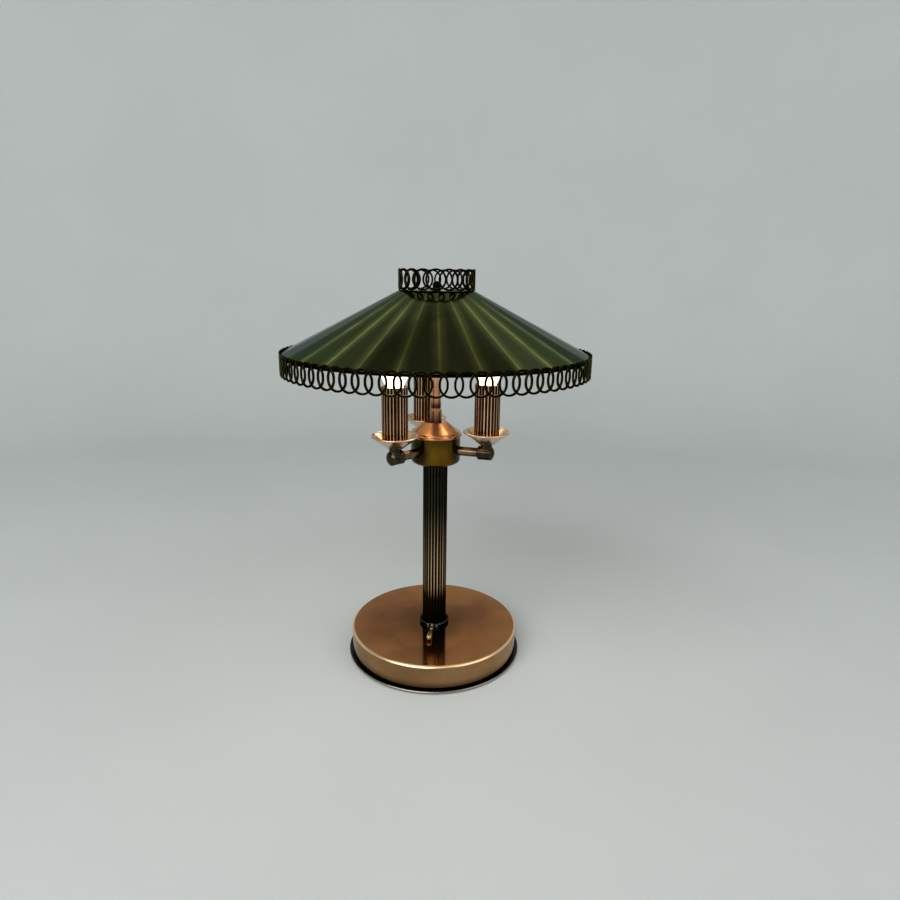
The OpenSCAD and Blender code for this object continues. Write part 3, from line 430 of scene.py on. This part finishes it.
def lacquer_material():
    """Clear green lacquer on dark metal outside, with a painted olive highlight along the folds and
    painted shade on the turned-down edge, and cream enamel inside."""
    m, tree, shader, place = new_material("green_lacquer")
    old = use(tree, PATINA, Position=place, Size=0.05)
    axes = put(tree, "ShaderNodeSeparateXYZ", {0: place}).outputs
    azimuth = maths(tree, "ARCTAN2", axes["X"], maths(tree, "MULTIPLY", axes["Y"], -1.0))
    pitch = math.tau / PANELS
    turned = maths(tree, "SUBTRACT", azimuth, math.radians(FOLD_AZIMUTH))
    share = maths(tree, "DIVIDE", turned, pitch)
    off_fold = maths(tree, "ABSOLUTE", maths(tree, "SUBTRACT", share, maths(tree, "ROUND", share)))
    radius = use(tree, SPUN, Position=place)["Radius"]
    across = maths(tree, "MULTIPLY", maths(tree, "MULTIPLY", off_fold, pitch), radius)
    # Painted highlight along each fold, olive, fading towards the crown
    core = remap(tree, across, 0.0, 0.002, 0.5, 0.0)
    halo = remap(tree, across, 0.0, 0.009, 0.3, 0.0)
    fold_highlight = maths(tree, "ADD", core, halo)
    fold_highlight = maths(tree, "MULTIPLY", fold_highlight, remap(tree, old["Cloud"], 0.0, 1.0, 0.55, 1.0))
    fold_highlight = maths(tree, "MULTIPLY", fold_highlight, remap(tree, radius, CONE_TOP, CONE_TOP + 0.03, 0.3, 1.0))
    number = maths(tree, "FLOOR", share)
    panel = put(tree, "ShaderNodeTexWhiteNoise", {"W": number}, noise_dimensions="1D").outputs[0]
    tone = blend(tree, panel, (0.085, 0.098, 0.04), (0.12, 0.137, 0.06))
    tone = blend(tree, fold_highlight, tone, (0.6, 0.63, 0.2))
    normal = put(tree, "ShaderNodeNewGeometry").outputs["Normal"]
    facing = put(tree, "ShaderNodeSeparateXYZ", {0: normal}).outputs["Z"]
    lining = maths(tree, "MULTIPLY", remap(tree, facing, 0.05, -0.05),
                   remap(tree, radius, CONE_RIM - 0.0035, CONE_RIM - 0.0025, 1.0, 0.0))
    tone = blend(tree, lining, tone, (0.72, 0.67, 0.56))
    # Painted shade: the turned-down edge made near-black
    z_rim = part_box("shade_cone")[0][2] + CONE_SKIRT
    skirt_shade = remap(tree, axes["Z"], z_rim - 0.001, z_rim - 0.0002, 1.0, 0.0)
    tone = blend(tree, skirt_shade, tone, (0.006, 0.0065, 0.004))
    rough = maths(tree, "ADD", remap(tree, old["Cloud"], 0.0, 1.0, 0.11, 0.17),
                  maths(tree, "MULTIPLY", lining, 0.35))
    link_all(tree, shader, {"Base Color": tone, "Metallic": maths(tree, "SUBTRACT", 1.0, lining),
                            "Roughness": rough, "Specular Tint": (0.38, 0.42, 0.46, 1.0),
                            "Normal": relief(tree, old["Cloud"], 0.02, 0.001)})
    return m


def felt_material():
    """Pressed wool felt: short fibres in every direction and a soft sheen."""
    m, tree, shader, place = new_material("wool_felt")
    old = use(tree, PATINA, Position=place, Size=0.012)
    fibres = noise_at(tree, place, 2600.0, 4.0, 0.75, distortion=1.4)
    tone = blend(tree, remap(tree, fibres, 0.3, 0.7), (0.007, 0.012, 0.008), (0.026, 0.042, 0.028))
    tone = blend(tree, maths(tree, "MULTIPLY", old["Speck"], 0.3), tone, (0.06, 0.075, 0.055))
    link_all(tree, shader, {"Base Color": tone, "Roughness": 0.95, "Sheen Weight": 0.4,
                            "Sheen Roughness": 0.5, "Normal": relief(tree, fibres, 0.6, 0.0003)})
    return m


def bulb_material():
    """Opal glass lit from inside, more orange towards its foot."""
    m, tree, shader, place = new_material("opal_glass")
    height = put(tree, "ShaderNodeSeparateXYZ", {0: place}).outputs["Z"]
    lit = remap(tree, height, BULB_FOOT, BULB_PALE, 0.25, 1.0)
    tone = blend(tree, lit, (1.0, 0.62, 0.3), (1.0, 0.88, 0.68))
    link_all(tree, shader, {"Base Color": (0.9, 0.86, 0.8, 1.0), "Roughness": 0.15,
                            "Emission Color": tone, "Emission Strength": 4.0})
    return m


lacquer = lacquer_material()
felt = felt_material()
opal = bulb_material()

looks = {
    "felt_pad": felt, "base_plate": foot_metal, "base_weight": iron, "base_cover": cover_metal,
    "cord_bushing": resin, "switch_body": resin, "switch_bushing": collar_metal,
    "switch_nut": collar_metal, "switch_lever": lever_metal, "switch_screws": blued_steel,
    "column_collar": collar_metal, "column_tube": column_metal, "cluster_body": drum_metal,
    "cluster_cap": cap_metal, "terminal_block": porcelain, "stem_socket": stem_metal,
    "stem_tube": stem_metal, "shade_spider": arm_metal, "shade_cone": lacquer,
    "lower_gallery": strip_metal, "upper_gallery": strip_metal, "finial": strip_metal,
}
for name in ("plate_screws", "rod_washer", "rod_nut", "tie_rod", "cluster_nut", "arm_nuts",
             "switch_pin"):
    looks[name] = steel
for i in ARMS:
    looks.update({"arm_tube_%d" % i: arm_metal, "arm_end_%d" % i: arm_end_metal,
                  "nipple_%d" % i: steel, "drip_pan_%d" % i: pan_metal(i),
                  "candle_sleeve_%d" % i: sleeve_metal(i),
                  "lampholder_%d" % i: porcelain, "socket_contacts_%d" % i: lever_metal,
                  "bulb_cap_%d" % i: cap_shell, "bulb_glass_%d" % i: opal})
for name, material in looks.items():
    mesh = nodes[name].data
    mesh.materials.clear()
    mesh.materials.append(material)


# Pieces drawn here

def finish_piece(bm, name, material, body, node):
    """Object from a bmesh, which rides on a body and stands for a CAD node."""
    mesh = bpy.data.meshes.new(name)
    bm.to_mesh(mesh)
    bm.free()
    mesh.materials.append(material)
    piece = bpy.data.objects.new(name, mesh)
    bpy.context.scene.collection.objects.link(piece)
    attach(piece, body)
    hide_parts(node)
    return piece


def spun_section(bm, section, centre, steps):
    """Surface of a section, points of radius and height, turned once round an upright axis."""
    verts = [bm.verts.new((centre[0] + r, centre[1], centre[2] + z)) for r, z in section]
    for pair in zip(verts, verts[1:]):
        bm.edges.new(pair)
    bmesh.ops.spin(bm, geom=bm.verts[:] + bm.edges[:], cent=centre, axis=(0, 0, 1), angle=math.tau,
                   steps=steps, use_merge=True)


def panelled_cone():
    """Sheet cone of flat panels with rounded folds and a turned-down edge."""
    low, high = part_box("shade_cone")
    z_rim = low[2] + CONE_SKIRT
    rise = high[2] - z_rim
    bm = bmesh.new()
    bmesh.ops.create_cone(bm, cap_ends=False, segments=PANELS, radius1=CONE_RIM, radius2=CONE_TOP,
                          depth=rise)
    rim = [e for e in bm.edges if max(v.co.z for v in e.verts) < 0.0]
    drop = bmesh.ops.extrude_edge_only(bm, edges=rim)["geom"]
    lowest = [g for g in drop if isinstance(g, bmesh.types.BMVert)]
    bmesh.ops.translate(bm, verts=lowest, vec=(0.0, 0.0, -CONE_SKIRT))
    bmesh.ops.recalc_face_normals(bm, faces=bm.faces)
    folds = [e for e in bm.edges if not e.is_boundary]
    bmesh.ops.bevel(bm, geom=folds, offset=FOLD_ROUND, offset_type="OFFSET", segments=FOLD_STEPS,
                    profile=0.5, affect="EDGES", material=-1)
    bmesh.ops.recalc_face_normals(bm, faces=bm.faces)
    bmesh.ops.solidify(bm, geom=bm.faces[:], thickness=CONE_SHEET)
    bmesh.ops.recalc_face_normals(bm, faces=bm.faces)
    turn = Matrix.Rotation(math.radians(FOLD_AZIMUTH), 4, "Z")
    lift = Matrix.Translation((0.0, 0.0, z_rim + rise / 2))
    bmesh.ops.transform(bm, matrix=lift @ turn, verts=bm.verts)
    for f in bm.faces:
        f.smooth = True
    piece = finish_piece(bm, "lacquered_cone", lacquer, "shade", "shade_cone")
    piece.data.set_sharp_from_angle(angle=math.radians(FOLD_SHARP))


def felt_disc():
    """Felt disc under the base plate, with a soft fuzzy edge."""
    r, _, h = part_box("felt_pad")[1]
    inner = r - FELT_EDGE
    bm = bmesh.new()
    section = [(0.0, 0.0), (inner, 0.0), (r, FELT_EDGE), (r, h - FELT_EDGE), (inner, h), (0.0, h)]
    spun_section(bm, section, (0.0, 0.0, 0.0), steps=FELT_STEPS)
    bmesh.ops.remove_doubles(bm, verts=bm.verts, dist=1e-6)
    for v in bm.verts:
        reach = math.hypot(v.co.x, v.co.y)
        if reach > r * 0.9:
            fuzz = noise.noise(v.co * FUZZ_RATE) * FUZZ_DEPTH - FUZZ_INSET
            v.co.x *= 1.0 + fuzz / reach
            v.co.y *= 1.0 + fuzz / reach
    bmesh.ops.recalc_face_normals(bm, faces=bm.faces)
    piece = finish_piece(bm, "felt_disc", felt, "stand", "felt_pad")


panelled_cone()
felt_disc()


# Floor, light and camera

def studio_floor():
    """Pale round floor that curves up into a wall on every side, nearest behind the lamp."""
    reach, top, bend = 2.9, 3.0, 0.6
    middle = Vector((0.0, -1.4, 0.0))
    bm = bmesh.new()
    spun_section(bm, [(0.0, 0.0), (reach, 0.0), (reach, top)], middle, steps=96)
    bmesh.ops.remove_doubles(bm, verts=bm.verts, dist=1e-4)
    outer = {v for v in bm.verts if v.co.z < 1e-4 and (v.co - middle).length > reach / 2}
    corner = [e for e in bm.edges if outer.issuperset(e.verts)]
    bmesh.ops.bevel(bm, geom=corner, offset=bend, offset_type="OFFSET", segments=15, profile=0.5,
                    affect="EDGES", material=-1)
    bmesh.ops.recalc_face_normals(bm, faces=bm.faces)
    mesh = bpy.data.meshes.new("floor")
    bm.to_mesh(mesh)
    bm.free()
    mesh.shade_smooth()
    floor = bpy.data.objects.new("floor", mesh)
    bpy.context.scene.collection.objects.link(floor)
    m, tree, shader, place = new_material("pale_floor")
    cloud = use(tree, PATINA, Position=place, Size=0.4)["Cloud"]
    tone = blend(tree, cloud, (0.55, 0.58, 0.575), (0.57, 0.6, 0.595))
    link_all(tree, shader, {"Base Color": tone, "Roughness": 0.8})
    mesh.materials.append(m)
    return floor


def soft_light(name, place, size, power):
    """Square area light that faces the lamp."""
    data = bpy.data.lights.new(name, "AREA")
    data.size = size
    data.energy = power
    light = bpy.data.objects.new(name, data)
    light.location = place
    light.rotation_euler = (Vector(LAMP_MIDDLE) - Vector(place)).to_track_quat("-Z", "Y").to_euler()
    bpy.context.scene.collection.objects.link(light)


studio_floor()
soft_light("key", (-0.9, -1.6, 1.5), 2.0, 50)
soft_light("fill", (1.6, -1.1, 1.5), 2.2, 21)

scene = bpy.context.scene
world = bpy.data.worlds.new("studio")
world.use_nodes = True
sky = world.node_tree.nodes["Background"].inputs
sky["Color"].default_value = (1.0, 0.97, 0.87, 1.0)
sky["Strength"].default_value = 0.13
scene.world = world
scene.view_settings.view_transform = "Standard"

camera = bpy.data.objects.new("camera", bpy.data.cameras.new("camera"))
camera.data.sensor_width = CAMERA_SENSOR
camera.data.lens = CAMERA_LENS
camera.location = CAMERA_PLACE
tilt = Matrix.Rotation(math.radians(CAMERA_TILT), 4, "X")
roll = Matrix.Rotation(math.radians(CAMERA_ROLL), 4, "Z")
camera.rotation_euler = (tilt @ roll).to_euler()
scene.collection.objects.link(camera)
scene.camera = camera
